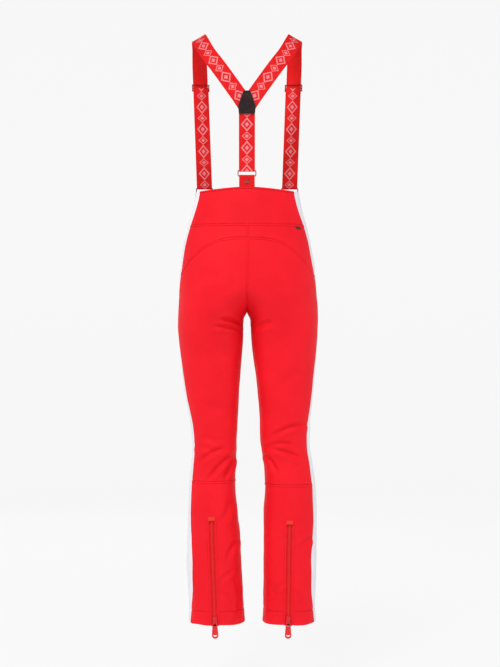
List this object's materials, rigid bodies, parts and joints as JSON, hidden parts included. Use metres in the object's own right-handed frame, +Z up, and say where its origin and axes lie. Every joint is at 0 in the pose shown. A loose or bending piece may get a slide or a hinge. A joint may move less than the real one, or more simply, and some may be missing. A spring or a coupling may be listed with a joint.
{
  "type": "ski pants with suspenders",
  "caption": "High-waisted stretch ski trousers with flared zip hems, side stripes and a Y-back pair of webbing suspenders on wire rings.",
  "frame": {"origin": "middle of the waist opening, level with the top edge at the centre back", "axes": "+Z up, +X towards the wearer's left, -Y forwards"},
  "size_m": [0.3567, 0.2329, 1.5281],
  "materials": {
    "red_shell": "smooth stretch softshell, fine twill face, soft sheen",
    "white_shell": "the same softshell in white",
    "webbing": "ribbed woven elastic with a paler woven motif",
    "zip_tape": "woven tape with coil teeth",
    "red_metal": "glossy red lacquer on wire and die-cast metal",
    "zip_garage": "soft-gloss bonded patch",
    "leather": "fine-grained, satin, dark brown-black",
    "black_lining": "matt knitted lining",
    "black_trim": "woven label with no mark"
  },
  "bodies": {
    "trousers": {"waistband_back": "red_shell", "waistband_front_left": "red_shell", "waistband_front_right": "red_shell", "waistband_facing": "black_lining", "left_back_yoke": "red_shell", "left_seat_panel": "red_shell", "left_front_panel": "red_shell", "left_side_stripe": "white_shell", "left_calf_panel": "red_shell", "left_shin_panel": "red_shell", "left_hem_facing": "black_lining", "left_hem_zip_tape": "zip_tape", "left_zip_guard": "black_lining", "left_hem_zip_teeth": "zip_tape", "left_hem_zip_tab": "zip_garage", "left_waist_stud": "red_metal", "right_back_yoke": "red_shell", "right_seat_panel": "red_shell", "right_front_panel": "red_shell", "right_side_stripe": "white_shell", "right_calf_panel": "red_shell", "right_shin_panel": "red_shell", "right_hem_facing": "black_lining", "right_hem_zip_tape": "zip_tape", "right_zip_guard": "black_lining", "right_hem_zip_teeth": "zip_tape", "right_hem_zip_tab": "zip_garage", "right_waist_stud": "red_metal", "fly_zip_tape": "zip_tape", "fly_guard": "red_shell", "fly_zip_teeth": "zip_tape", "upper_waist_snap": "red_metal", "lower_waist_snap": "red_metal", "side_tag": "black_trim", "back_tab": "webbing", "back_tab_snap": "red_metal"},
    "left_hem_slider": {"left_hem_zip_slider": "red_metal"},
    "left_hem_pull": {"left_hem_zip_pull": "red_metal"},
    "right_hem_slider": {"right_hem_zip_slider": "red_metal"},
    "right_hem_pull": {"right_hem_zip_pull": "red_metal"},
    "fly_slider": {"fly_zip_slider": "red_metal"},
    "fly_pull": {"fly_zip_pull": "red_metal"},
    "back_ring": {"back_ring": "red_metal"},
    "suspenders": {"back_strap": "webbing", "yoke_patch_outer": "leather", "yoke_patch_inner": "leather", "left_shoulder_strap": "webbing", "left_strap_return": "webbing", "right_shoulder_strap": "webbing", "right_strap_return": "webbing"},
    "left_adjuster": {"left_adjuster": "red_metal"},
    "left_front_ring": {"left_front_ring": "red_metal"},
    "left_front_tab": {"left_front_tab": "webbing", "left_tab_snap": "red_metal"},
    "right_adjuster": {"right_adjuster": "red_metal"},
    "right_front_ring": {"right_front_ring": "red_metal"},
    "right_front_tab": {"right_front_tab": "webbing", "right_tab_snap": "red_metal"}
  },
  "joints": [
    {"name": "left_hem_zip_slide", "type": "slide", "parent": "trousers", "child": "left_hem_slider", "axis": [0.0342, -0.0223, 0.9992], "range_m": [0, 0.235]},
    {"name": "left_hem_pull_swing", "type": "hinge", "parent": "left_hem_slider", "child": "left_hem_pull", "pos_m": [0.08052, 0.08454, -1.07594], "axis": [0.9994, 0, -0.0342], "range_deg": [0, 165]},
    {"name": "right_hem_zip_slide", "type": "slide", "parent": "trousers", "child": "right_hem_slider", "axis": [-0.0157, -0.0222, 0.9996], "range_m": [0, 0.225]},
    {"name": "right_hem_pull_swing", "type": "hinge", "parent": "right_hem_slider", "child": "right_hem_pull", "pos_m": [-0.10324, 0.08452, -1.07593], "axis": [0.9999, 0, 0.0157], "range_deg": [0, 165]},
    {"name": "fly_zip_slide", "type": "slide", "parent": "trousers", "child": "fly_slider", "axis": [0, -0.0561, -0.9984], "range_m": [0, 0.105]},
    {"name": "fly_pull_swing", "type": "hinge", "parent": "fly_slider", "child": "fly_pull", "pos_m": [0, -0.10264, -0.11579], "axis": [-1, 0, 0], "range_deg": [0, 165]},
    {"name": "back_ring_swing", "type": "hinge", "parent": "trousers", "child": "back_ring", "pos_m": [0, 0.0838, 0.031], "axis": [-1, 0, 0], "range_deg": [0, 80]},
    {"name": "suspenders_swing", "type": "hinge", "parent": "back_ring", "child": "suspenders", "pos_m": [0, 0.0838, 0.045], "axis": [-1, 0, 0], "range_deg": [0, 60]},
    {"name": "left_adjuster_slide", "type": "slide", "parent": "suspenders", "child": "left_adjuster", "axis": [-0.037, 0.0217, -0.9991], "range_m": [0, 0.18]},
    {"name": "left_front_ring_swing", "type": "hinge", "parent": "suspenders", "child": "left_front_ring", "pos_m": [0.11078, -0.08424, 0.01599], "axis": [-0.9444, -0.3277, 0.0279], "range_deg": [0, 45]},
    {"name": "left_front_tab_swing", "type": "hinge", "parent": "left_front_ring", "child": "left_front_tab", "pos_m": [0.11026, -0.08394, 0.002], "axis": [-0.9444, -0.3277, 0.0279], "range_deg": [0, 90]},
    {"name": "right_adjuster_slide", "type": "slide", "parent": "suspenders", "child": "right_adjuster", "axis": [0.037, 0.0217, -0.9991], "range_m": [0, 0.18]},
    {"name": "right_front_ring_swing", "type": "hinge", "parent": "suspenders", "child": "right_front_ring", "pos_m": [-0.11078, -0.08424, 0.01599], "axis": [-0.9444, 0.3277, -0.0279], "range_deg": [0, 45]},
    {"name": "right_front_tab_swing", "type": "hinge", "parent": "right_front_ring", "child": "right_front_tab", "pos_m": [-0.11026, -0.08394, 0.002], "axis": [-0.9444, 0.3277, -0.0279], "range_deg": [0, 90]}
  ]
}
